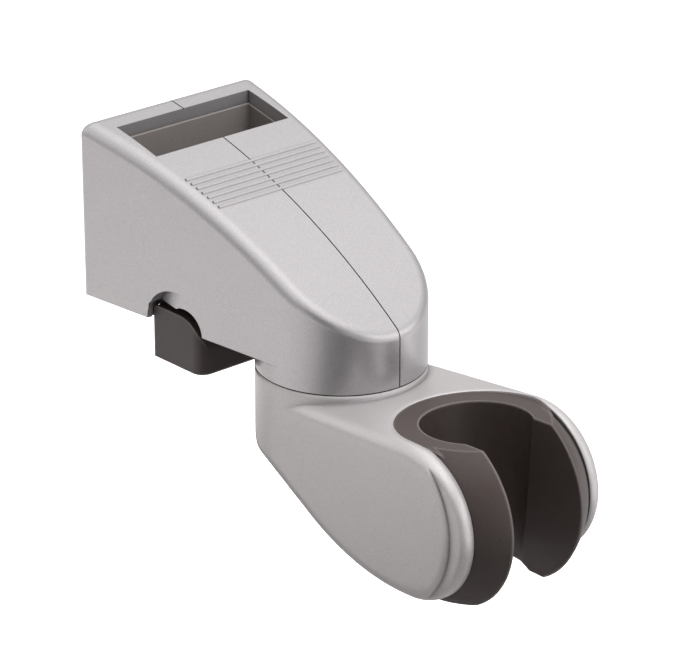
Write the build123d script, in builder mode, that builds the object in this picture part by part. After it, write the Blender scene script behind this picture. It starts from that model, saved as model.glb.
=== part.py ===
from build123d import *
import math
import os

os.makedirs("parts", exist_ok=True)

# Shower rail slider, in millimetres. The origin lies on the axis of the rail channel,
# level with the underside of the housing. +Z runs up the rail and +X points away from
# the wall, towards the handset cup.

# rail and its guides
rail_depth = 12.6
rail_width = 36.8
rail_play = 0.25
guide_wall = 1.2
guide_step = 0.4
guide_fit = 0.05
guide_lip = 3.0
guide_sill = 2.0
gate_play = 0.5

# housing outline
rear_wall = 6.95
side_wall = 5.65
rear_height = 41.4
roof_angle = 10.2
roof_straight = 7.0
roof_radius = 169.0
roof_fillet = 3.0
rear_fillet = 1.8
nose_gap = 3.6
nose_radius = 19.0
nose_drop = 4.2
floor_wall = 2.5
roof_wall = 3.4
seam_width = 0.3
seam_depth = 0.4

# grip ribs on the roof
rib_count = 7
rib_radius = 0.42
rib_sink = 0.12
rib_pitch = 1.66
rib_start = 30.5
rib_inset = 3.2

# inner room for the brake
front_wall = 2.4
groove_wall = 0.9
room_width = 31.0

# release lever
lever_gap = 0.65
lever_depth = 16.3
lever_rise = 2.9
lever_drop = 9.5
lever_length = 42.4
lever_rear_round = 1.2
lever_front_round = 7.4
lever_corner = 2.8
lever_travel = 1.35
lever_side_play = 0.4
lever_end_play = 0.35
notch_radius = 8.4
crescent_radius = 5.5
crescent_rise = 1.0
notch_depth = 3.0
notch_turn = 11.0
arm_thickness = 3.0
arm_spread = 8.0
arm_height = 6.2
arm_root = 16.0
arm_rise = 4.5
tongue_width = 4.0
tongue_thickness = 3.2
tongue_play = 0.35
tongue_over = 1.2

# lever pin
pin_radius = 1.5
pin_length = 35.0
pin_ahead = 4.8
pin_z = 5.8
pin_play = 0.06
pin_boss = 2.9

# brake shoe, pad and spring
pad_face_play = 0.1
pad_thickness = 2.65
pad_inset = 0.8
pad_round = 1.5
pad_groove = 0.9
pad_groove_count = 4
pad_groove_depth = 0.7
shoe_thickness = 4.4
shoe_base = 7.5
shoe_headroom = 7.25
shoe_width = 19.2
shoe_play = 0.2
shoe_round = 1.5
stem_radius = 3.5
stem_play = 0.1
stem_overrun = 1.6
spring_wall = 2.0
spring_wall_gap = 1.95
spring_radius = 4.9
spring_wire = 0.45
spring_turns = 4

# swivel
journal_radius = 9.0
journal_play = 0.06
ledge_height = 5.0
flange_radius = 11.2
flange_height = 2.45
flange_side_play = 0.3
thrust_height = 0.8
friction_height = 0.9
disc_height = 0.65
disc_dish = 0.25
swivel_play = 0.05
socket_depth = 4.5
key_width = 3.2
key_reach = 11.0
journal_core = 6.0
journal_floor = 3.0
thrust_inner = 9.3
friction_inner = 5.0
disc_inner = 6.4

# swivel screw and cap
swivel_screw_radius = 2.0
swivel_screw_length = 10.2
swivel_head_radius = 3.6
swivel_head_height = 2.6
swivel_head_round = 0.85
swivel_drive_depth = 1.3
swivel_washer_radius = 4.3
swivel_washer_height = 0.8
swivel_hole_play = 0.2
swivel_web = 3.0
well_radius = 4.9
cap_fit = 0.05
cap_play = 0.4

# housing screws: two in the back wall, two that straddle the swivel bore
screw_inset = 3.3
screw_low = 6.2
screw_below_roof = 8.5
screw_behind_pivot = 5.0
screw_before_pivot = 9.7
head_sink = 3.4
screw_radius = 1.2
screw_bite = 9.0
screw_play = 0.1
screw_tip = 0.4
head_radius = 2.0
head_height = 1.8
head_round = 0.6
head_play = 0.15
drive_radius = 1.0
drive_depth = 1.1

# holder arm and its drum
collar_gap = 0.3
collar_height = 1.5
holder_width = 42.4
cup_reach = 43.0
drum_drop = 17.4
drum_radius = 17.6
back_height = 12.7
belly_angle = 27.4
belly_radius = 60.0
holder_fillet = 3.0
panel_radius = 20.5
panel_back = 6.9
panel_round = 0.9
lip_step = 1.1

# cup liner
ball_ahead = 1.0
ball_radius = 23.4
ring_radius = 17.4
liner_half = 16.9
liner_fit = 0.1
rim_below = 0.3
rim_tilt = 3.0
bore_top = 12.2
bore_bottom = 10.9
gap_half = 9.9
lead_in = 1.1
liner_base = 18.6
key_neck = 5.0
key_head = 8.0
key_neck_depth = 1.6
key_head_depth = 1.8
key_stop = 9.0
key_play = 0.2

# angle of a straight flank that starts at a half width and touches the nose circle
def flank_turn(distance, half):
    return math.atan2(half, distance) - math.asin(nose_radius / math.hypot(distance, half))


# height of the roof's outer surface at a place along X
def roof_height(x):
    bend_x = rear_x + roof_straight
    if x <= bend_x:
        return rear_height - (x - rear_x) * slope
    centre_x = bend_x - roof_radius * math.sin(math.radians(roof_angle))
    bend_z = rear_height - roof_straight * slope
    centre_z = bend_z - roof_radius * math.cos(math.radians(roof_angle))
    return centre_z + math.sqrt(roof_radius ** 2 - (x - centre_x) ** 2)


# half of the housing's width at a place along X
def flank_half(x):
    if x <= side_x:
        return rear_half - (x - rear_x) * math.tan(housing_turn)
    return math.sqrt(nose_radius ** 2 - (x - pivot_reach) ** 2)


# values that follow from the sizes above
guide_in_x = rail_depth / 2 + rail_play
guide_in_y = rail_width / 2 + rail_play
guide_out_x = guide_in_x + guide_wall
guide_out_y = guide_in_y + guide_wall
mouth_x = guide_in_x + guide_step
mouth_y = guide_in_y + guide_step
guide_gate = lever_rise + lever_travel + gate_play
rear_x = -(mouth_x + rear_wall)
rear_half = mouth_y + side_wall
slope = math.tan(math.radians(roof_angle))
lever_rear = mouth_x + lever_gap
lever_front = lever_rear + lever_depth
pivot_reach = lever_front + nose_gap + nose_radius
nose_tip = pivot_reach + nose_radius
housing_turn = flank_turn(pivot_reach - rear_x, rear_half)
side_x = pivot_reach + nose_radius * math.sin(housing_turn)
side_y = nose_radius * math.cos(housing_turn)
room_rear = guide_out_x + guide_fit + front_wall
room_front = pivot_reach - flange_radius - flange_side_play - groove_wall
pin_x = room_front - pin_ahead
pad_face = rail_depth / 2 + pad_face_play
shoe_rear = pad_face + pad_thickness
stem_rear = shoe_rear + shoe_thickness
shoe_height = roof_height(stem_rear) - roof_wall - shoe_headroom - shoe_base
stem_z = shoe_base + shoe_height / 2
pad_height = shoe_height - 2 * pad_inset
pad_width = shoe_width - 2 * pad_inset
pad_groove_pitch = pad_height / pad_groove_count
spring_wall_x = pin_x - tongue_thickness / 2 - spring_wall_gap - spring_wall
spring_length = spring_wall_x - stem_rear
nose_base = -nose_drop
groove_base = nose_base + ledge_height
flange_base = groove_base + thrust_height + swivel_play
flange_top = flange_base + flange_height
friction_base = flange_top + swivel_play
disc_base = friction_base + friction_height
groove_top = disc_base + disc_height + disc_dish
collar_top = nose_base - collar_gap
swivel_half = holder_width / 2
arm_top = collar_top - collar_height
socket_base = collar_top - socket_depth
web_base = socket_base - swivel_web
cup_x = pivot_reach + cup_reach
panel_front = cup_x - panel_back + panel_radius
holder_turn = flank_turn(panel_front - pivot_reach, swivel_half)
drum_z = nose_base - drum_drop
arm_back_x = pivot_reach - nose_radius
arm_back_z = collar_top - back_height
ball_x = cup_x + ball_ahead
rim_z = nose_base - rim_below
rim_plane = Plane((cup_x, 0, rim_z)).rotated((0, -rim_tilt, 0))
liner_bottom = drum_z - liner_base
rear_screw_x = rear_x + screw_inset
screw_places = [
    (rear_screw_x, rear_height - screw_below_roof),
    (rear_screw_x, screw_low),
]
for screw_x in (pivot_reach - screw_behind_pivot, pivot_reach + screw_before_pivot):
    screw_places.append((screw_x, (groove_top + roof_height(screw_x)) / 2))


# the housing seen from above: a straight back, tapered sides and a round nose
def housing_plan():
    with BuildSketch(Plane.XY) as plan:
        with BuildLine():
            Line((side_x, -side_y), (rear_x, -rear_half))
            Line((rear_x, -rear_half), (rear_x, rear_half))
            Line((rear_x, rear_half), (side_x, side_y))
            ThreePointArc((side_x, side_y), (nose_tip, 0), (side_x, -side_y))
        make_face()
    return plan.sketch


# the housing seen from the side: a roof that starts straight and arches to the nose
def housing_side():
    bend = (rear_x + roof_straight, rear_height - roof_straight * slope)
    middle_x = (bend[0] + nose_tip) / 2
    tip = (nose_tip, roof_height(nose_tip))
    with BuildSketch(Plane.XZ) as side:
        with BuildLine():
            Line((rear_x, nose_base), (rear_x, rear_height))
            Line((rear_x, rear_height), bend)
            ThreePointArc(bend, (middle_x, roof_height(middle_x)), tip)
            Line(tip, (nose_tip, nose_base))
            Line((nose_tip, nose_base), (rear_x, nose_base))
        make_face()
    return side.sketch


# cross-section of the release lever's bar, or of the way cut for it
def lever_section(rear, front, top, bottom, front_round):
    rear_round = lever_rear_round
    with BuildSketch(Plane.XZ) as section:
        with BuildLine():
            Line((rear, bottom), (rear, top - rear_round))
            RadiusArc((rear, top - rear_round), (rear + rear_round, top), rear_round)
            Line((rear + rear_round, top), (front - front_round, top))
            RadiusArc((front - front_round, top), (front, top - front_round), front_round)
            Line((front, top - front_round), (front, bottom))
            Line((front, bottom), (rear, bottom))
        make_face()
    return section.sketch


# the block that the rail guides fill, seen from the side, with a top along the roof
def guide_outline(more):
    half = guide_out_x + more
    low = guide_sill - more
    with BuildSketch(Plane.XZ) as outline:
        with BuildLine():
            Polyline(
                (-half, low),
                (half, low),
                (half, roof_height(half) - guide_lip + more),
                (-half, roof_height(-half) - guide_lip + more),
                close=True,
            )
        make_face()
    return outline.sketch


def cut_channel():
    with BuildSketch(Plane.XY.offset(nose_base)) as mouth:
        Rectangle(2 * mouth_x, 2 * mouth_y)
    extrude(mouth.sketch, amount=rear_height + nose_drop + rib_radius, mode=Mode.SUBTRACT)
    extrude(guide_outline(guide_fit), amount=guide_out_y + guide_fit, both=True, mode=Mode.SUBTRACT)


# the room behind the nose, with the wall that the brake spring leans on
def cut_room():
    with BuildSketch(Plane.XZ) as room:
        with BuildLine():
            Polyline(
                (room_rear, floor_wall),
                (room_front, floor_wall),
                (room_front, roof_height(room_front) - roof_wall),
                (room_rear, roof_height(room_rear) - roof_wall),
                close=True,
            )
        make_face()
    extrude(room.sketch, amount=room_width / 2, both=True, mode=Mode.SUBTRACT)
    wall_base = pin_z + arm_height
    wall_height = roof_height(spring_wall_x) - roof_wall / 2 - wall_base
    with BuildSketch(Plane.XZ) as wall:
        with Locations((spring_wall_x, wall_base)):
            Rectangle(spring_wall, wall_height, align=(Align.MIN, Align.MIN))
    extrude(wall.sketch, amount=room_width / 2, both=True)
    with BuildSketch(Plane.YZ.offset(spring_wall_x)) as hole:
        with Locations((0, stem_z)):
            Circle(stem_radius + stem_play)
    extrude(hole.sketch, amount=spring_wall, mode=Mode.SUBTRACT)


# the window in the channel's front wall that the brake shoe works through
def cut_shoe_window():
    with BuildSketch(Plane.YZ.offset(guide_in_x)) as window:
        with Locations((0, stem_z)):
            Rectangle(shoe_width + 2 * shoe_play, shoe_height + 2 * shoe_play)
    extrude(window.sketch, amount=room_rear - guide_in_x, mode=Mode.SUBTRACT)


# the slot for the lever, and a slanting round scoop in each flank above its ends
def cut_lever_way():
    front = lever_front + lever_side_play
    top = lever_rise + lever_travel
    way = lever_section(mouth_x, front, top, nose_base, crescent_radius)
    extrude(way, amount=lever_length / 2 + lever_end_play, both=True, mode=Mode.SUBTRACT)
    mouth = lever_section(lever_rear, front, top, nose_base, crescent_radius)
    extrude(mouth, amount=rear_half, both=True, mode=Mode.SUBTRACT)
    with BuildSketch(Plane.XZ) as crescent:
        with Locations((front - crescent_radius, top + crescent_rise - crescent_radius)):
            Circle(crescent_radius)
    extrude(crescent.sketch, amount=rear_half, both=True, mode=Mode.SUBTRACT)
    turn = math.radians(notch_turn)
    for side in (-1, 1):
        scoop_y = side * (flank_half(lever_rear) - notch_depth)
        floor = Plane(
            (lever_rear, scoop_y, 0),
            x_dir=(math.cos(turn), side * math.sin(turn), 0),
            z_dir=(-math.sin(turn), side * math.cos(turn), 0),
        )
        with BuildSketch(floor) as scoop:
            with Locations((notch_radius / math.cos(turn), 0)):
                Circle(notch_radius)
        extrude(scoop.sketch, amount=2 * side_wall, mode=Mode.SUBTRACT)


# the stepped bore that holds the swivel journal and its rings
def cut_swivel_bore():
    with BuildSketch(Plane.XY.offset(nose_base)) as bore:
        with Locations((pivot_reach, 0)):
            Circle(journal_radius + journal_play)
    extrude(bore.sketch, amount=ledge_height, mode=Mode.SUBTRACT)
    with BuildSketch(Plane.XY.offset(groove_base)) as groove:
        with Locations((pivot_reach, 0)):
            Circle(flange_radius + flange_side_play)
    extrude(groove.sketch, amount=groove_top - groove_base, mode=Mode.SUBTRACT)


def cut_pin_hole():
    with BuildSketch(Plane.XZ) as hole:
        with Locations((pin_x, pin_z)):
            Circle(pin_radius)
    extrude(hole.sketch, amount=pin_length / 2, both=True, mode=Mode.SUBTRACT)


def add_ribs():
    for index in range(rib_count):
        rib_x = rear_x + rib_start + index * rib_pitch
        with BuildSketch(Plane.XZ) as rib:
            with Locations((rib_x, roof_height(rib_x) - rib_sink)):
                Circle(rib_radius)
        extrude(rib.sketch, amount=flank_half(rib_x) - rib_inset, both=True)


with BuildPart() as seam_core:
    seam_line = offset(housing_side(), amount=-seam_depth, kind=Kind.INTERSECTION)
    extrude(seam_line, amount=seam_width, both=True)

with BuildPart() as seam_ring:
    extrude(housing_side(), amount=seam_width / 2, both=True)
    add(seam_core.part, mode=Mode.SUBTRACT)

with BuildPart() as housing_blank:
    extrude(housing_plan(), amount=rear_height)
    extrude(housing_side(), amount=rear_half, both=True, mode=Mode.INTERSECT)
    fillet(housing_blank.edges().filter_by(Axis.Z).group_by(Axis.X)[0], rear_fillet)
    roof_faces = housing_blank.faces().filter_by(lambda face: face.normal_at().Z > 0.5)
    roof_edges = roof_faces.edges().filter_by(Axis.Y, reverse=True)
    fillet(roof_edges, roof_fillet)
    with BuildSketch(Plane.XY):
        with Locations((pivot_reach, 0)):
            Circle(nose_radius)
    extrude(amount=-nose_drop)
    add_ribs()
    add(seam_ring.part, mode=Mode.SUBTRACT)
    cut_channel()
    cut_room()
    cut_shoe_window()
    cut_lever_way()
    cut_swivel_bore()
    cut_pin_hole()


# the left half, with the blind holes that the screws bite into
with BuildPart() as housing_left:
    add(housing_blank.part)
    split(bisect_by=Plane.XZ, keep=Keep.TOP)
    for screw_x, screw_z in screw_places:
        with BuildSketch(Plane.XZ):
            with Locations((screw_x, screw_z)):
                Circle(screw_radius)
        extrude(amount=screw_bite, mode=Mode.SUBTRACT)

# the right half, with clearance holes and sunk seats for the heads
with BuildPart() as housing_right:
    add(housing_blank.part)
    split(bisect_by=Plane.XZ, keep=Keep.BOTTOM)
    for screw_x, screw_z in screw_places:
        seat = flank_half(screw_x) - head_sink
        with BuildSketch(Plane.XZ):
            with Locations((screw_x, screw_z)):
                Circle(screw_radius + screw_play)
        extrude(amount=-seat, mode=Mode.SUBTRACT)
        with BuildSketch(Plane.XZ.offset(-seat)):
            with Locations((screw_x, screw_z)):
                Circle(head_radius + head_play)
        extrude(amount=-rear_half, mode=Mode.SUBTRACT)

for screw_index, (screw_x, screw_z) in enumerate(screw_places, start=1):
    seat = flank_half(screw_x) - head_sink
    with BuildPart() as housing_screw:
        with BuildSketch(Plane.XZ.offset(-seat)):
            with Locations((screw_x, screw_z)):
                Circle(head_radius)
        extrude(amount=-head_height)
        fillet(housing_screw.edges().sort_by(Axis.Y)[-1], head_round)
        with BuildSketch(Plane.XZ.offset(-seat)):
            with Locations((screw_x, screw_z)):
                Circle(screw_radius)
        extrude(amount=seat + screw_bite - screw_tip)
        with BuildSketch(Plane.XZ.offset(-seat - head_height)):
            with Locations((screw_x, screw_z)):
                RegularPolygon(drive_radius, 6)
        extrude(amount=drive_depth, mode=Mode.SUBTRACT)
    housing_screw.part.label = f"housing_screw_{screw_index}"
    export_step(housing_screw.part, f"parts/housing_screw_{screw_index}.step")

# liner of the rail channel, open at the front for the shoe and above the lever
with BuildPart() as guide_blank:
    extrude(guide_outline(0), amount=guide_out_y, both=True)
    with BuildSketch(Plane.XY.offset(guide_sill)):
        Rectangle(2 * guide_in_x, 2 * guide_in_y)
    extrude(amount=rear_height, mode=Mode.SUBTRACT)
    cut_shoe_window()
    with BuildSketch(Plane.XZ):
        with Locations((guide_in_x, 0)):
            Rectangle(2 * guide_wall, guide_gate, align=(Align.MIN, Align.MIN))
    extrude(amount=rear_half, both=True, mode=Mode.SUBTRACT)

with BuildPart() as rail_guide_left:
    add(guide_blank.part)
    split(bisect_by=Plane.XZ, keep=Keep.TOP)

with BuildPart() as rail_guide_right:
    add(guide_blank.part)
    split(bisect_by=Plane.XZ, keep=Keep.BOTTOM)

with BuildPart() as lever_pin:
    with BuildSketch(Plane.XZ):
        with Locations((pin_x, pin_z)):
            Circle(pin_radius)
    extrude(amount=pin_length / 2, both=True)

# a bar across the housing, two arms to the pin, and a tongue that draws the shoe back
with BuildPart() as release_lever:
    bar = lever_section(lever_rear, lever_front, lever_rise, -lever_drop, lever_front_round)
    extrude(bar, amount=lever_length / 2, both=True)
    with BuildSketch(Plane.XY.offset(-lever_drop)) as bar_plan:
        with Locations((lever_rear, 0)):
            Rectangle(lever_depth, lever_length, align=(Align.MIN, Align.CENTER))
        fillet(bar_plan.vertices().group_by(Axis.X)[-1], lever_corner)
    extrude(amount=lever_drop + lever_rise, mode=Mode.INTERSECT)
    for side in (-1, 1):
        with BuildSketch(Plane.XZ.offset(side * arm_spread)):
            with BuildLine():
                Polyline(
                    (arm_root, 0),
                    (arm_root, pin_z),
                    (pin_x, pin_z + pin_boss),
                    (pin_x, pin_z - pin_boss),
                    (arm_root + arm_rise, pin_z - pin_boss),
                    close=True,
                )
            make_face()
        extrude(amount=arm_thickness / 2, both=True)
    with BuildSketch(Plane.XZ):
        with Locations((pin_x, pin_z)):
            Circle(pin_boss)
    extrude(amount=arm_spread + arm_thickness / 2, both=True)
    with BuildSketch(Plane.XZ):
        with Locations((pin_x, pin_z)):
            Rectangle(
                tongue_thickness,
                stem_z + stem_radius + tongue_over - pin_z,
                align=(Align.CENTER, Align.MIN),
            )
    extrude(amount=tongue_width / 2, both=True)
    with BuildSketch(Plane.XZ):
        with Locations((pin_x, pin_z)):
            Circle(pin_radius + pin_play)
    extrude(amount=lever_length, both=True, mode=Mode.SUBTRACT)

# the shoe's plate carries the pad, and its stem runs through the spring to the tongue
with BuildPart() as brake_shoe:
    with BuildSketch(Plane.YZ.offset(shoe_rear)):
        with Locations((0, stem_z)):
            RectangleRounded(shoe_width, shoe_height, shoe_round)
    extrude(amount=shoe_thickness)
    with BuildSketch(Plane.YZ.offset(stem_rear)):
        with Locations((0, stem_z)):
            Circle(stem_radius)
    extrude(amount=pin_x + tongue_thickness / 2 + tongue_play + stem_overrun - stem_rear)
    with BuildSketch(Plane.XY.offset(stem_z - stem_radius)):
        with Locations((pin_x, 0)):
            Rectangle(tongue_thickness + 2 * tongue_play, tongue_width + 2 * shoe_play)
    extrude(amount=2 * stem_radius, mode=Mode.SUBTRACT)

with BuildPart() as brake_pad:
    with BuildSketch(Plane.YZ.offset(pad_face)):
        with Locations((0, stem_z)):
            RectangleRounded(pad_width, pad_height, pad_round)
    extrude(amount=pad_thickness)
    with BuildSketch(Plane.YZ.offset(pad_face)):
        with Locations((0, stem_z)):
            with GridLocations(0, pad_groove_pitch, 1, pad_groove_count):
                Rectangle(pad_width, pad_groove)
    extrude(amount=pad_groove_depth, mode=Mode.SUBTRACT)

with BuildPart() as brake_spring:
    spring_run = spring_length - 2 * spring_wire
    spring_start = (stem_rear + spring_wire, 0, stem_z)
    with BuildLine() as coil:
        Helix(spring_run / spring_turns, spring_run, spring_radius, spring_start, (1, 0, 0))
    with BuildSketch(Plane(coil.line @ 0, z_dir=coil.line % 0)):
        Circle(spring_wire)
    sweep(is_frenet=True)

# the journal hangs in the housing by its flange and is keyed into the holder's collar
with BuildPart() as swivel_journal:
    with BuildSketch(Plane.XY.offset(socket_base)):
        with Locations((pivot_reach, 0)):
            Circle(journal_radius)
    extrude(amount=flange_base - socket_base)
    with BuildSketch(Plane.XY.offset(socket_base)):
        with Locations((pivot_reach, 0)):
            Rectangle(2 * key_reach, key_width)
    extrude(amount=socket_depth)
    with BuildSketch(Plane.XY.offset(flange_base)):
        with Locations((pivot_reach, 0)):
            Circle(flange_radius)
    extrude(amount=flange_height)
    core_base = socket_base + swivel_screw_length - swivel_web + journal_floor / 2
    with BuildSketch(Plane.XY.offset(core_base)):
        with Locations((pivot_reach, 0)):
            Circle(journal_core)
    extrude(amount=flange_top - core_base, mode=Mode.SUBTRACT)
    with BuildSketch(Plane.XY.offset(socket_base)):
        with Locations((pivot_reach, 0)):
            Circle(swivel_screw_radius)
    extrude(amount=core_base - socket_base, mode=Mode.SUBTRACT)


# a flat ring round the swivel axis
def flat_ring(base, height, inner, outer):
    with BuildSketch(Plane.XY.offset(base)) as ring:
        with Locations((pivot_reach, 0)):
            Circle(outer)
            Circle(inner, mode=Mode.SUBTRACT)
    extrude(ring.sketch, amount=height)


with BuildPart() as thrust_ring:
    flat_ring(groove_base, thrust_height, thrust_inner, flange_radius)

with BuildPart() as friction_ring:
    flat_ring(friction_base, friction_height, friction_inner, flange_radius)

with BuildPart() as spring_disc:
    with BuildSketch(Plane.XZ):
        with BuildLine():
            Polyline(
                (pivot_reach + disc_inner, disc_base + disc_dish),
                (pivot_reach + flange_radius, disc_base),
                (pivot_reach + flange_radius, disc_base + disc_height),
                (pivot_reach + disc_inner, disc_base + disc_dish + disc_height),
                close=True,
            )
        make_face()
    revolve(axis=Axis((pivot_reach, 0, 0), (0, 0, 1)))

with BuildPart() as swivel_washer:
    washer_base = web_base - swivel_washer_height
    flat_ring(washer_base, swivel_washer_height, swivel_screw_radius, swivel_washer_radius)

with BuildPart() as swivel_screw:
    head_base = washer_base - swivel_head_height
    with BuildSketch(Plane.XY.offset(head_base)):
        with Locations((pivot_reach, 0)):
            Circle(swivel_head_radius)
    extrude(amount=swivel_head_height)
    fillet(swivel_screw.edges().sort_by(Axis.Z)[0], swivel_head_round)
    with BuildSketch(Plane.XY.offset(head_base + swivel_head_height)):
        with Locations((pivot_reach, 0)):
            Circle(swivel_screw_radius)
    extrude(amount=swivel_screw_length)
    with BuildSketch(Plane.XY.offset(head_base)):
        with Locations((pivot_reach, 0)):
            RegularPolygon(swivel_screw_radius, 6)
    extrude(amount=swivel_drive_depth, mode=Mode.SUBTRACT)


# where the straight top of the arm touches the drum
def arm_top_end():
    top_start = Vector(nose_tip, arm_top)
    reach = top_start - Vector(cup_x, drum_z)
    lean = math.atan2(reach.Y, reach.X) - math.acos(drum_radius / reach.length)
    return Vector(cup_x, drum_z) + Vector(math.cos(lean), math.sin(lean)) * drum_radius


# height of the arm's straight top above its back edge
def arm_back_top():
    top_end = arm_top_end()
    fall = (top_end.Y - arm_top) / (top_end.X - nose_tip)
    return arm_top - 2 * nose_radius * fall


# the holder seen from the side: arm, drum and a belly that swells into the drum
def holder_side():
    back = Vector(arm_back_x, arm_back_z)
    drum = Vector(cup_x, drum_z)
    run = Vector(math.cos(math.radians(belly_angle)), -math.sin(math.radians(belly_angle)))
    rise = Vector(math.sin(math.radians(belly_angle)), math.cos(math.radians(belly_angle)))
    to_drum = drum - back
    swell = belly_radius - drum_radius
    off_line = belly_radius - to_drum.dot(rise)
    along = to_drum.dot(run) - math.sqrt(swell ** 2 - off_line ** 2)
    belly_start = back + run * along
    belly_centre = belly_start + rise * belly_radius
    belly_end = drum + (drum - belly_centre).normalized() * drum_radius
    top_end = arm_top_end()
    back_top = (arm_back_x, arm_back_top())
    with BuildSketch(Plane.XZ) as side:
        with BuildLine():
            Line(back_top, back)
            Line(back, belly_start)
            RadiusArc(belly_start, belly_end, -belly_radius)
            ThreePointArc(belly_end, (cup_x + drum_radius, drum_z), top_end)
            Line(top_end, back_top)
        make_face()
    return side.sketch


# the arm seen from above, from a place along X on: its sides spread a little
def arm_plan(back_x):
    back_half = swivel_half - (panel_front - back_x) * math.tan(holder_turn)
    far_x = cup_x + 2 * drum_radius
    far_half = swivel_half + (far_x - panel_front) * math.tan(holder_turn)
    with BuildSketch(Plane.XY.offset(drum_z - 2 * drum_radius)) as plan:
        with BuildLine():
            Polyline(
                (back_x, -back_half),
                (far_x, -far_half),
                (far_x, far_half),
                (back_x, back_half),
                close=True,
            )
        make_face()
    return plan.sketch


# a T-shaped key on the back of the cup's liner, slid up into the arm from below
def liner_key(fit):
    back = cup_x - ring_radius
    with BuildSketch(Plane.XY.offset(liner_bottom)) as key:
        with Locations((back + key_neck_depth, 0)):
            Rectangle(2 * key_neck_depth + fit, key_neck + 2 * fit, align=(Align.MAX, Align.CENTER))
        with Locations((back - key_neck_depth + fit, 0)):
            Rectangle(key_head_depth + 2 * fit, key_head + 2 * fit, align=(Align.MAX, Align.CENTER))
    return key.sketch


def liner_key_height():
    return rim_z - key_stop - liner_bottom


# the flank stands proud, as a panel with a rounded rim, of a band round the drum's front
with BuildPart() as panel_disc:
    with BuildSketch(Plane.XZ.offset(swivel_half - lip_step)):
        with Locations((cup_x - panel_back, drum_z)):
            Circle(panel_radius)
    extrude(amount=lip_step)
    fillet(panel_disc.edges().sort_by(Axis.Y)[0], panel_round)

with BuildPart() as lip_band:
    with BuildSketch(Plane.XZ.offset(swivel_half - lip_step)):
        with Locations((cup_x, drum_z)):
            Rectangle(2 * drum_radius, 2 * panel_radius, align=(Align.MIN, Align.CENTER))
    extrude(amount=2 * lip_step)
    add(panel_disc.part, mode=Mode.SUBTRACT)
    mirror(about=Plane.XZ)

with BuildPart() as holder_shell:
    extrude(holder_side(), amount=holder_width, both=True)
    extrude(arm_plan(arm_back_x), amount=4 * drum_radius, mode=Mode.INTERSECT)
    flank_faces = holder_shell.faces().filter_by(lambda face: abs(face.normal_at().Y) > 0.99)
    fillet(flank_faces.edges().filter_by(Axis.Z, reverse=True), holder_fillet)
    with BuildSketch(Plane.XY.offset(drum_z - 2 * drum_radius)):
        add(arm_plan(pivot_reach - nose_radius * math.sin(holder_turn)))
        with Locations((pivot_reach, 0)):
            Circle(nose_radius)
    extrude(amount=4 * drum_radius, mode=Mode.INTERSECT)
    with BuildSketch(Plane.XY.offset(collar_top)):
        with Locations((pivot_reach, 0)):
            Circle(nose_radius)
    extrude(amount=-(collar_height + 2 * holder_fillet))
    add(lip_band.part, mode=Mode.SUBTRACT)
    with BuildSketch(Plane.XY.offset(drum_z - 2 * drum_radius)):
        with Locations((cup_x, 0)):
            Circle(ring_radius + liner_fit)
            Rectangle(cup_reach, 2 * (liner_half + liner_fit), align=(Align.MIN, Align.CENTER))
    extrude(amount=4 * drum_radius, mode=Mode.SUBTRACT)
    extrude(liner_key(guide_fit), amount=liner_key_height(), mode=Mode.SUBTRACT)
    with BuildSketch(Plane.XY.offset(socket_base)):
        with Locations((pivot_reach, 0)):
            Circle(journal_radius)
            Rectangle(2 * key_reach, key_width)
    extrude(amount=socket_depth, mode=Mode.SUBTRACT)
    with BuildSketch(Plane.XY.offset(web_base)):
        with Locations((pivot_reach, 0)):
            Circle(swivel_screw_radius + swivel_hole_play)
    extrude(amount=swivel_web, mode=Mode.SUBTRACT)
    with BuildSketch(Plane.XY.offset(web_base)):
        with Locations((pivot_reach, 0)):
            Circle(well_radius)
    extrude(amount=-2 * drum_radius, mode=Mode.SUBTRACT)

# a plug that fills the screw's well and follows the underside of the arm
with BuildPart() as swivel_cap:
    with BuildSketch(Plane.XY.offset(head_base - cap_play)):
        with Locations((pivot_reach, 0)):
            Circle(well_radius - cap_fit)
    extrude(amount=-2 * drum_radius)
    extrude(holder_side(), amount=swivel_half, both=True, mode=Mode.INTERSECT)

# the front of the ball, trimmed at the flanks and behind the middle of the cup
with BuildPart() as liner_ball:
    with Locations((ball_x, 0, drum_z)):
        Sphere(ball_radius)
    with BuildSketch(Plane.XY.offset(liner_bottom)):
        with Locations((cup_x, 0)):
            Rectangle(2 * ball_radius, 2 * liner_half, align=(Align.MIN, Align.CENTER))
    extrude(amount=2 * ball_radius, mode=Mode.INTERSECT)

# the cup: a round seat and the front of a ball, with a tapered bore and a hose gap
with BuildPart() as cup_liner:
    with BuildSketch(Plane.XY.offset(drum_z - 2 * drum_radius)):
        with Locations((cup_x, 0)):
            Circle(ring_radius)
    extrude(amount=4 * drum_radius)
    extrude(liner_key(0), amount=liner_key_height() - key_play)
    extrude(holder_side(), amount=swivel_half, both=True, mode=Mode.INTERSECT)
    add(liner_ball.part)
    split(bisect_by=rim_plane, keep=Keep.BOTTOM)
    with BuildSketch(Plane.XZ):
        with BuildLine():
            Polyline(
                (cup_x, liner_bottom),
                (cup_x + bore_bottom + lead_in, liner_bottom),
                (cup_x + bore_bottom, liner_bottom + lead_in),
                (cup_x + bore_top, rim_z),
                (cup_x + bore_top, 0),
                (cup_x, 0),
                close=True,
            )
        make_face()
    revolve(axis=Axis((cup_x, 0, 0), (0, 0, 1)), mode=Mode.SUBTRACT)
    with BuildSketch(Plane.XY.offset(liner_bottom)):
        with Locations((cup_x, 0)):
            Rectangle(2 * ball_radius, 2 * gap_half, align=(Align.MIN, Align.CENTER))
    extrude(amount=2 * ball_radius, mode=Mode.SUBTRACT)

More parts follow.
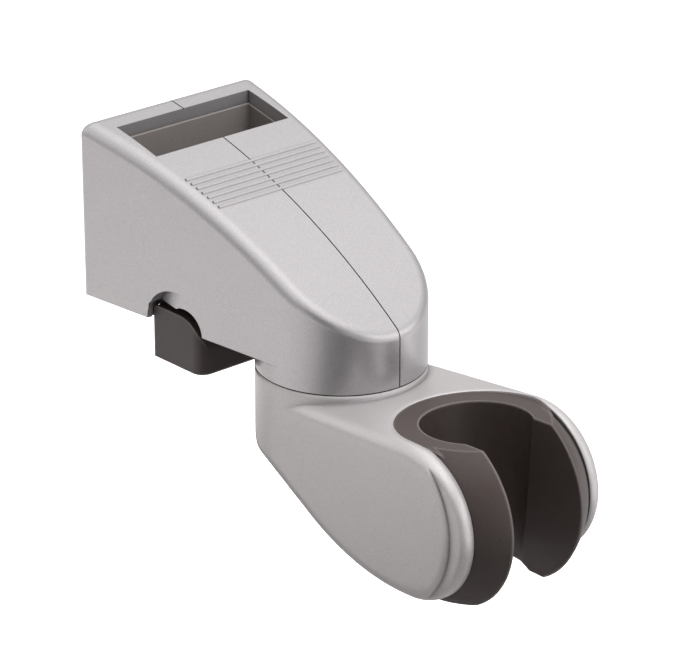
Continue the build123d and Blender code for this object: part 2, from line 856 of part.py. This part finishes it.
pieces = {
    "housing_left": housing_left,
    "housing_right": housing_right,
    "rail_guide_left": rail_guide_left,
    "rail_guide_right": rail_guide_right,
    "lever_pin": lever_pin,
    "release_lever": release_lever,
    "brake_shoe": brake_shoe,
    "brake_pad": brake_pad,
    "brake_spring": brake_spring,
    "thrust_ring": thrust_ring,
    "friction_ring": friction_ring,
    "spring_disc": spring_disc,
    "swivel_journal": swivel_journal,
    "swivel_washer": swivel_washer,
    "swivel_screw": swivel_screw,
    "swivel_cap": swivel_cap,
    "holder_shell": holder_shell,
    "cup_liner": cup_liner,
}
for piece_name, piece in pieces.items():
    piece.part.label = piece_name
    export_step(piece.part, f"parts/{piece_name}.step")
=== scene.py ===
import math

import bmesh
import bpy
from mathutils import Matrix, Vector


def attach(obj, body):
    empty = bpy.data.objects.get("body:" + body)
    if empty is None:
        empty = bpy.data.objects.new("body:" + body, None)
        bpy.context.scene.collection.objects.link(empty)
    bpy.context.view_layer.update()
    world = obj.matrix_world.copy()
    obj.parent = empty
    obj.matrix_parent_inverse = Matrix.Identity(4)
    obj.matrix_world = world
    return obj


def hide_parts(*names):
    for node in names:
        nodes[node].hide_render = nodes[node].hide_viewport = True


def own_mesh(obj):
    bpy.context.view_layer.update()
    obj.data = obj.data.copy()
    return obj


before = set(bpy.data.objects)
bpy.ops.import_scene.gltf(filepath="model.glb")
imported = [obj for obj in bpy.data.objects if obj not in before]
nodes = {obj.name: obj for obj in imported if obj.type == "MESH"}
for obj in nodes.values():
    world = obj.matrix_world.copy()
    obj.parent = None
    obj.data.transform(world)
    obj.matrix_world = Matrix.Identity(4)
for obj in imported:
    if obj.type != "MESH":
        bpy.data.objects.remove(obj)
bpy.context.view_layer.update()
scene = bpy.context.scene

# sockets of a colour Mix node, which go by number because their names repeat
mixFirst = 6
mixSecond = 7
mixResult = 2


def newMaterial(name):
    material = bpy.data.materials.new(name)
    material.use_nodes = True
    tree = material.node_tree
    shader = tree.nodes["Principled BSDF"]
    return material, tree, shader


def addNode(tree, kind, **values):
    node = tree.nodes.new(kind)
    for key, value in values.items():
        if key in node.inputs:
            node.inputs[key].default_value = value
        else:
            setattr(node, key, value)
    return node


def setInput(node, name, value):
    node.inputs[name].default_value = value


def setRange(node, before, after):
    setInput(node, "From Min", before[0])
    setInput(node, "From Max", before[1])
    setInput(node, "To Min", after[0])
    setInput(node, "To Max", after[1])


def addObject(name, data):
    newObject = bpy.data.objects.new(name, data)
    scene.collection.objects.link(newObject)
    return newObject


def turnTowards(place, target, axis):
    return (Vector(target) - Vector(place)).to_track_quat(axis, "Y").to_euler()


grainSettings = {
    "speckleDetail": 2.0,
    "speckleRoughness": 0.6,
    "cloudDetail": 4.0,
    "cloudRoughness": 0.55,
    "sharpRange": (0.35, 0.65),
}


# fine grain: a speckle mask, a slow cloud mask and a height, all on Object coordinates
def buildGrainGroup(settings):
    group = bpy.data.node_groups.new("surfaceGrain", "ShaderNodeTree")
    for name in ("Speckle Size", "Cloud Size", "Speckle Sharpness"):
        group.interface.new_socket(name=name, in_out="INPUT", socket_type="NodeSocketFloat")
    for name in ("Speckle", "Cloud", "Height"):
        group.interface.new_socket(name=name, in_out="OUTPUT", socket_type="NodeSocketFloat")
    groupIn = group.nodes.new("NodeGroupInput")
    groupOut = group.nodes.new("NodeGroupOutput")
    place = group.nodes.new("ShaderNodeTexCoord")
    speckle = addNode(group, "ShaderNodeTexNoise", Detail=settings["speckleDetail"],
                      Roughness=settings["speckleRoughness"])
    cloud = addNode(group, "ShaderNodeTexNoise", Detail=settings["cloudDetail"],
                    Roughness=settings["cloudRoughness"])
    sharp = addNode(group, "ShaderNodeMapRange")
    setRange(sharp, settings["sharpRange"], (0, 1))
    blend = addNode(group, "ShaderNodeMix", data_type="FLOAT")
    total = addNode(group, "ShaderNodeMath", operation="ADD")
    links = group.links
    links.new(place.outputs["Object"], speckle.inputs["Vector"])
    links.new(place.outputs["Object"], cloud.inputs["Vector"])
    links.new(groupIn.outputs["Speckle Size"], speckle.inputs["Scale"])
    links.new(groupIn.outputs["Cloud Size"], cloud.inputs["Scale"])
    links.new(speckle.outputs["Fac"], sharp.inputs["Value"])
    links.new(groupIn.outputs["Speckle Sharpness"], blend.inputs["Factor"])
    links.new(speckle.outputs["Fac"], blend.inputs["A"])
    links.new(sharp.outputs["Result"], blend.inputs["B"])
    links.new(blend.outputs["Result"], total.inputs[0])
    links.new(cloud.outputs["Fac"], total.inputs[1])
    links.new(blend.outputs["Result"], groupOut.inputs["Speckle"])
    links.new(cloud.outputs["Fac"], groupOut.inputs["Cloud"])
    links.new(total.outputs["Value"], groupOut.inputs["Height"])
    return group


grainGroup = buildGrainGroup(grainSettings)

# the edge highlight's turn: the dot product of flat and rounded normal where the painted highlight
# on edges starts and where it is full
surfaceSettings = {
    "bevelSamples": 8,
    "paintedShadeSamples": 6,
    "edgeHighlightTurn": (0.995, 0.90),
}


# colour from grain, a painted highlight along edges and painted shade in crevices; roughness from
# the clouds; bump on softened edges
def dressSurface(settings):
    material, tree, shader = newMaterial(settings["name"])
    grain = tree.nodes.new("ShaderNodeGroup")
    grain.node_tree = grainGroup
    setInput(grain, "Speckle Size", settings["speckleSize"])
    setInput(grain, "Cloud Size", settings["cloudSize"])
    setInput(grain, "Speckle Sharpness", settings["speckleSharpness"])
    colour = addNode(tree, "ShaderNodeMix", data_type="RGBA")
    setInput(colour, mixFirst, (*settings["darkColour"], 1))
    setInput(colour, mixSecond, (*settings["lightColour"], 1))
    roughness = addNode(tree, "ShaderNodeMapRange")
    setRange(roughness, (0, 1), settings["roughness"])
    bump = addNode(tree, "ShaderNodeBump", Strength=settings["bumpStrength"],
                   Distance=settings["bumpDepth"])
    softEdge = addNode(tree, "ShaderNodeBevel", samples=surfaceSettings["bevelSamples"],
                       Radius=settings["edgeRadius"])
    # painted highlight: the colour is lightened towards the edge colour where the rounded normal
    # turns away from the flat one
    flat = tree.nodes.new("ShaderNodeNewGeometry")
    turned = addNode(tree, "ShaderNodeVectorMath", operation="DOT_PRODUCT")
    edgeHighlightMask = addNode(tree, "ShaderNodeMapRange")
    setRange(edgeHighlightMask, surfaceSettings["edgeHighlightTurn"], (0, settings["paintedEdgeHighlight"]))
    edgeHighlighted = addNode(tree, "ShaderNodeMix", data_type="RGBA")
    setInput(edgeHighlighted, mixSecond, (*settings["edgeHighlightColour"], 1))
    # painted shade: ambient occlusion darkens the colour in crevices, grooves and between parts
    paintedShadeOcclusion = addNode(tree, "ShaderNodeAmbientOcclusion", samples=surfaceSettings["paintedShadeSamples"],
                      Distance=settings["paintedShadeReach"])
    paintedShadeFactor = addNode(tree, "ShaderNodeMapRange")
    setRange(paintedShadeFactor, (0, 1), (settings["paintedCreviceShade"], 1))
    withPaintedShade = addNode(tree, "ShaderNodeMix", data_type="RGBA", blend_type="MULTIPLY", Factor=1.0)
    links = tree.links
    links.new(grain.outputs["Speckle"], colour.inputs["Factor"])
    links.new(flat.outputs["Normal"], turned.inputs[0])
    links.new(softEdge.outputs["Normal"], turned.inputs[1])
    links.new(turned.outputs["Value"], edgeHighlightMask.inputs["Value"])
    links.new(edgeHighlightMask.outputs["Result"], edgeHighlighted.inputs["Factor"])
    links.new(colour.outputs[mixResult], edgeHighlighted.inputs[mixFirst])
    links.new(paintedShadeOcclusion.outputs["AO"], paintedShadeFactor.inputs["Value"])
    links.new(edgeHighlighted.outputs[mixResult], withPaintedShade.inputs[mixFirst])
    links.new(paintedShadeFactor.outputs["Result"], withPaintedShade.inputs[mixSecond])
    links.new(withPaintedShade.outputs[mixResult], shader.inputs["Base Color"])
    links.new(grain.outputs["Cloud"], roughness.inputs["Value"])
    links.new(roughness.outputs["Result"], shader.inputs["Roughness"])
    links.new(softEdge.outputs["Normal"], bump.inputs["Normal"])
    links.new(grain.outputs["Height"], bump.inputs["Height"])
    links.new(bump.outputs["Normal"], shader.inputs["Normal"])
    setInput(shader, "Metallic", settings["metallic"])
    return material


# each finish sets the colour and strength of a painted highlight on its edges and the reach and
# depth of painted shade in its crevices
silverCoat = {
    "name": "satinSilverCoat",
    "paintedEdgeHighlight": 0.0,
    "edgeHighlightColour": (0.5, 0.49, 0.5),
    "paintedShadeReach": 0.0008,
    "paintedCreviceShade": 0.0,
    "edgeRadius": 0.0,
    "darkColour": (0.303, 0.291, 0.293),
    "lightColour": (0.415, 0.399, 0.405),
    "speckleSize": 5200.0,
    "cloudSize": 90.0,
    "speckleSharpness": 0.7,
    "roughness": (0.27, 0.35),
    "bumpStrength": 0.12,
    "bumpDepth": 0.00004,
    "metallic": 0.72,
}
armCoat = {
    **silverCoat,
    "name": "satinArmCoat",
    "paintedEdgeHighlight": 0.1,
    "paintedShadeReach": 0.0016,
    "edgeRadius": 0.0022,
    "darkColour": (0.320, 0.304, 0.300),
    "lightColour": (0.425, 0.404, 0.402),
    "roughness": (0.32, 0.40),
    "metallic": 0.45,
}
darkPlastic = {
    "name": "darkGreyPlastic",
    "paintedEdgeHighlight": 0.65,
    "edgeHighlightColour": (0.14, 0.12, 0.115),
    "paintedShadeReach": 0.001,
    "paintedCreviceShade": 0.6,
    "edgeRadius": 0.0009,
    "darkColour": (0.022, 0.015, 0.0135),
    "lightColour": (0.037, 0.026, 0.023),
    "speckleSize": 3800.0,
    "cloudSize": 120.0,
    "speckleSharpness": 0.5,
    "roughness": (0.42, 0.55),
    "bumpStrength": 0.25,
    "bumpDepth": 0.00005,
    "metallic": 0.0,
}
guidePlastic = {
    "name": "guidePlastic",
    "paintedEdgeHighlight": 0.3,
    "edgeHighlightColour": (0.24, 0.22, 0.21),
    "paintedShadeReach": 0.003,
    "paintedCreviceShade": 0.6,
    "edgeRadius": 0.0003,
    "darkColour": (0.125, 0.112, 0.104),
    "lightColour": (0.16, 0.144, 0.134),
    "speckleSize": 3000.0,
    "cloudSize": 100.0,
    "speckleSharpness": 0.4,
    "roughness": (0.42, 0.52),
    "bumpStrength": 0.15,
    "bumpDepth": 0.00004,
    "metallic": 0.0,
}
brightSteel = {
    "name": "brightSteel",
    "paintedEdgeHighlight": 0.3,
    "edgeHighlightColour": (0.75, 0.74, 0.73),
    "paintedShadeReach": 0.001,
    "paintedCreviceShade": 0.6,
    "edgeRadius": 0.0002,
    "darkColour": (0.50, 0.49, 0.48),
    "lightColour": (0.60, 0.59, 0.58),
    "speckleSize": 2600.0,
    "cloudSize": 200.0,
    "speckleSharpness": 0.3,
    "roughness": (0.22, 0.32),
    "bumpStrength": 0.1,
    "bumpDepth": 0.00003,
    "metallic": 1.0,
}
padRubber = {
    "name": "padRubber",
    "paintedEdgeHighlight": 0.3,
    "edgeHighlightColour": (0.06, 0.055, 0.055),
    "paintedShadeReach": 0.001,
    "paintedCreviceShade": 0.6,
    "edgeRadius": 0.0003,
    "darkColour": (0.018, 0.017, 0.017),
    "lightColour": (0.030, 0.028, 0.028),
    "speckleSize": 4200.0,
    "cloudSize": 150.0,
    "speckleSharpness": 0.6,
    "roughness": (0.60, 0.75),
    "bumpStrength": 0.3,
    "bumpDepth": 0.00005,
    "metallic": 0.0,
}
finishes = {
    "silver": dressSurface(silverCoat),
    "armSilver": dressSurface(armCoat),
    "dark": dressSurface(darkPlastic),
    "guide": dressSurface(guidePlastic),
    "steel": dressSurface(brightSteel),
    "rubber": dressSurface(padRubber),
}
nodeFinishes = {
    "housing_left": "silver",
    "housing_right": "silver",
    "rail_guide_left": "guide",
    "rail_guide_right": "guide",
    "housing_screw_1": "steel",
    "housing_screw_2": "steel",
    "housing_screw_3": "steel",
    "housing_screw_4": "steel",
    "lever_pin": "steel",
    "brake_spring": "steel",
    "thrust_ring": "guide",
    "friction_ring": "guide",
    "spring_disc": "steel",
    "release_lever": "dark",
    "brake_shoe": "guide",
    "brake_pad": "rubber",
    "holder_shell": "armSilver",
    "cup_liner": "dark",
    "swivel_journal": "guide",
    "swivel_washer": "steel",
    "swivel_screw": "steel",
    "swivel_cap": "silver",
}
for nodeName, finish in nodeFinishes.items():
    for slot in nodes[nodeName].material_slots:
        slot.material = finishes[finish]
print("finishes placed on", len(nodeFinishes), "nodes")


# a thin wall at the foot of the channel's front, in the gap between the rail and the lever
skirtSettings = {
    "low": (0.00662, -0.0189, 0.0004),
    "high": (0.00696, 0.0189, 0.0062),
}


def buildSkirt(settings):
    mesh = bpy.data.meshes.new("channelSkirt")
    shape = bmesh.new()
    bmesh.ops.create_cube(shape, size=1)
    low = Vector(settings["low"])
    high = Vector(settings["high"])
    bmesh.ops.scale(shape, vec=high - low, verts=shape.verts)
    bmesh.ops.translate(shape, vec=(high + low) / 2, verts=shape.verts)
    shape.to_mesh(mesh)
    shape.free()
    skirt = addObject("channelSkirt", mesh)
    mesh.materials.append(finishes["silver"])
    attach(skirt, "housing")


buildSkirt(skirtSettings)
print("channel skirt added")


def buildSpring():
    source = nodes["brake_spring"]
    spring = addObject("shorteningSpring", source.data.copy())
    spring.matrix_world = source.matrix_world
    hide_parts("brake_spring")
    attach(spring, "housing")
    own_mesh(spring)


buildSpring()


floorSettings = {
    "height": -0.15,
    "size": 8.0,
    "colour": (0.86, 0.845, 0.835, 1),
    "roughness": 0.9,
    "specular": 0.1,
    "lift": 0.25,
    "white": 0.45,
}


# pale from above and clear from below; it glows a little in gloss and more to the camera
def buildFloor(settings):
    bpy.ops.mesh.primitive_plane_add(size=settings["size"], location=(0, 0, settings["height"]))
    floor = bpy.context.object
    floor.name = "studioFloor"
    material, tree, shader = newMaterial("paleFloor")
    setInput(shader, "Base Color", settings["colour"])
    setInput(shader, "Roughness", settings["roughness"])
    setInput(shader, "Specular IOR Level", settings["specular"])
    setInput(shader, "Emission Color", (1, 1, 1, 1))
    path = tree.nodes.new("ShaderNodeLightPath")
    glossLift = addNode(tree, "ShaderNodeMath", operation="MULTIPLY")
    setInput(glossLift, 1, settings["lift"])
    seenLift = addNode(tree, "ShaderNodeMath", operation="MULTIPLY_ADD")
    setInput(seenLift, 1, settings["white"])
    side = tree.nodes.new("ShaderNodeNewGeometry")
    clear = tree.nodes.new("ShaderNodeBsdfTransparent")
    oneSided = tree.nodes.new("ShaderNodeMixShader")
    links = tree.links
    links.new(path.outputs["Is Glossy Ray"], glossLift.inputs[0])
    links.new(path.outputs["Is Camera Ray"], seenLift.inputs[0])
    links.new(glossLift.outputs["Value"], seenLift.inputs[2])
    links.new(seenLift.outputs["Value"], shader.inputs["Emission Strength"])
    links.new(side.outputs["Backfacing"], oneSided.inputs["Fac"])
    links.new(shader.outputs["BSDF"], oneSided.inputs[1])
    links.new(clear.outputs["BSDF"], oneSided.inputs[2])
    links.new(oneSided.outputs["Shader"], tree.nodes["Material Output"].inputs["Surface"])
    floor.data.materials.append(material)


skySettings = {
    "seen": 1.0,
    "plain": 0.5,
    "mirrored": (0.62, 1.95),
    "rise": (0.35, 0.95),
}


# the camera sees plain white, gloss sees a sky that brightens upwards, the rest a dim even sky
def buildSky(settings):
    world = bpy.data.worlds.new("studioSky")
    world.use_nodes = True
    scene.world = world
    tree = world.node_tree
    background = tree.nodes["Background"]
    setInput(background, "Color", (1, 1, 1, 1))
    path = tree.nodes.new("ShaderNodeLightPath")
    place = tree.nodes.new("ShaderNodeTexCoord")
    split = tree.nodes.new("ShaderNodeSeparateXYZ")
    mirrored = addNode(tree, "ShaderNodeMapRange")
    setRange(mirrored, settings["rise"], settings["mirrored"])
    gloss = addNode(tree, "ShaderNodeMix", data_type="FLOAT", A=settings["plain"])
    final = addNode(tree, "ShaderNodeMix", data_type="FLOAT", B=settings["seen"])
    links = tree.links
    links.new(place.outputs["Generated"], split.inputs["Vector"])
    links.new(split.outputs["Z"], mirrored.inputs["Value"])
    links.new(mirrored.outputs["Result"], gloss.inputs["B"])
    links.new(path.outputs["Is Glossy Ray"], gloss.inputs["Factor"])
    links.new(gloss.outputs["Result"], final.inputs["A"])
    links.new(path.outputs["Is Camera Ray"], final.inputs["Factor"])
    links.new(final.outputs["Result"], background.inputs["Strength"])


lampSettings = {
    "topLamp": {
        "place": (0.30, 0.02, 0.92), "size": 0.6, "power": 16.0, "colour": (0.98, 0.975, 1.0),
    },
    "leftLamp": {
        "place": (-0.60, -0.75, 0.40), "size": 0.5, "power": 0.8, "colour": (1.0, 0.98, 0.96),
    },
    "rightLamp": {
        "place": (0.62, 0.40, 0.60), "size": 0.6, "power": 2.8, "colour": (1.0, 0.99, 1.0),
    },
}
aimPoint = Vector((0.045, 0, 0))


def buildLamps(settings):
    for name, values in settings.items():
        lamp = bpy.data.lights.new(name, "AREA")
        lamp.shape = "SQUARE"
        lamp.size = values["size"]
        lamp.energy = values["power"]
        lamp.color = values["colour"]
        lampObject = addObject(name, lamp)
        lampObject.location = values["place"]
        lampObject.visible_glossy = False
        lampObject.rotation_euler = turnTowards(values["place"], aimPoint, "-Z")


# cards that only gloss mirrors: the first three make soft dark bands, the others pale ones
cardSettings = {
    "floorCard": {
        "turn": -32.0, "raise": -12.5, "distance": 0.60,
        "width": 0.44, "height": 1.18, "flat": True, "glow": 0.0,
    },
    "frontCard": {
        "turn": -46.0, "raise": 16.0, "distance": 1.15,
        "width": 0.8, "height": 0.8, "flat": False, "glow": 0.0,
    },
    "underCard": {
        "turn": 180.0, "raise": -62.0, "distance": 0.147,
        "width": 0.28, "height": 0.36, "flat": True, "glow": 0.2,
    },
    "greySideCard": {
        "turn": 96.0, "raise": -20.0, "distance": 0.42,
        "width": 0.36, "height": 0.50, "flat": True, "glow": 0.95,
    },
    "paleSideCard": {
        "turn": 32.0, "raise": 15.0, "distance": 1.1,
        "width": 1.2, "height": 0.6, "flat": False, "glow": 2.2,
    },
    "paleBackCard": {
        "turn": -146.0, "raise": 20.0, "distance": 1.1,
        "width": 0.9, "height": 0.5, "flat": False, "glow": 1.5,
    },
}
cardColour = (0.03, 0.028, 0.028, 1)


def placeAround(turn, rise, distance, centre):
    turned = math.radians(turn)
    raised = math.radians(rise)
    out = Vector((
        math.cos(raised) * math.cos(turned),
        math.cos(raised) * math.sin(turned),
        math.sin(raised),
    ))
    return Vector(centre) + out * distance


def buildCards(settings):
    for name, values in settings.items():
        material, tree, shader = newMaterial(name)
        setInput(shader, "Base Color", cardColour)
        setInput(shader, "Roughness", 1.0)
        setInput(shader, "Specular IOR Level", 0.0)
        setInput(shader, "Emission Color", (1, 1, 1, 1))
        setInput(shader, "Emission Strength", values["glow"])
        place = placeAround(values["turn"], values["raise"], values["distance"], aimPoint)
        bpy.ops.mesh.primitive_plane_add(size=1, location=place)
        card = bpy.context.object
        card.name = name
        card.scale = (values["width"], values["height"], 1)
        if values["flat"]:
            card.rotation_euler = (0, 0, math.radians(values["turn"] - 90))
        else:
            card.rotation_euler = turnTowards(place, aimPoint, "Z")
        card.data.materials.append(material)
        card.visible_camera = False
        card.visible_diffuse = False
        card.visible_shadow = False


# fitted to about 20 points of the photo
cameraSettings = {
    "target": (0.0465, 0, -0.0042),
    "turn": -41.5,
    "raise": 23.3,
    "distance": 0.8,
    "sensorWidth": 36,
    "lens": 188.67,
    "shiftX": 0.01033,
    "shiftY": 0.03874,
    "nearest": 0.01,
}


def buildCamera(settings):
    camera = bpy.data.cameras.new("photoCamera")
    camera.sensor_fit = "HORIZONTAL"
    camera.sensor_width = settings["sensorWidth"]
    camera.lens = settings["lens"]
    camera.shift_x = settings["shiftX"]
    camera.shift_y = settings["shiftY"]
    camera.clip_start = settings["nearest"]
    target = settings["target"]
    place = placeAround(settings["turn"], settings["raise"], settings["distance"], target)
    cameraObject = addObject("photoCamera", camera)
    cameraObject.location = place
    cameraObject.rotation_euler = turnTowards(place, target, "-Z")
    scene.camera = cameraObject


buildFloor(floorSettings)
buildSky(skySettings)
buildLamps(lampSettings)
buildCards(cardSettings)
buildCamera(cameraSettings)
scene.view_settings.view_transform = "Standard"
print("floor, sky, lamps, cards and camera placed")
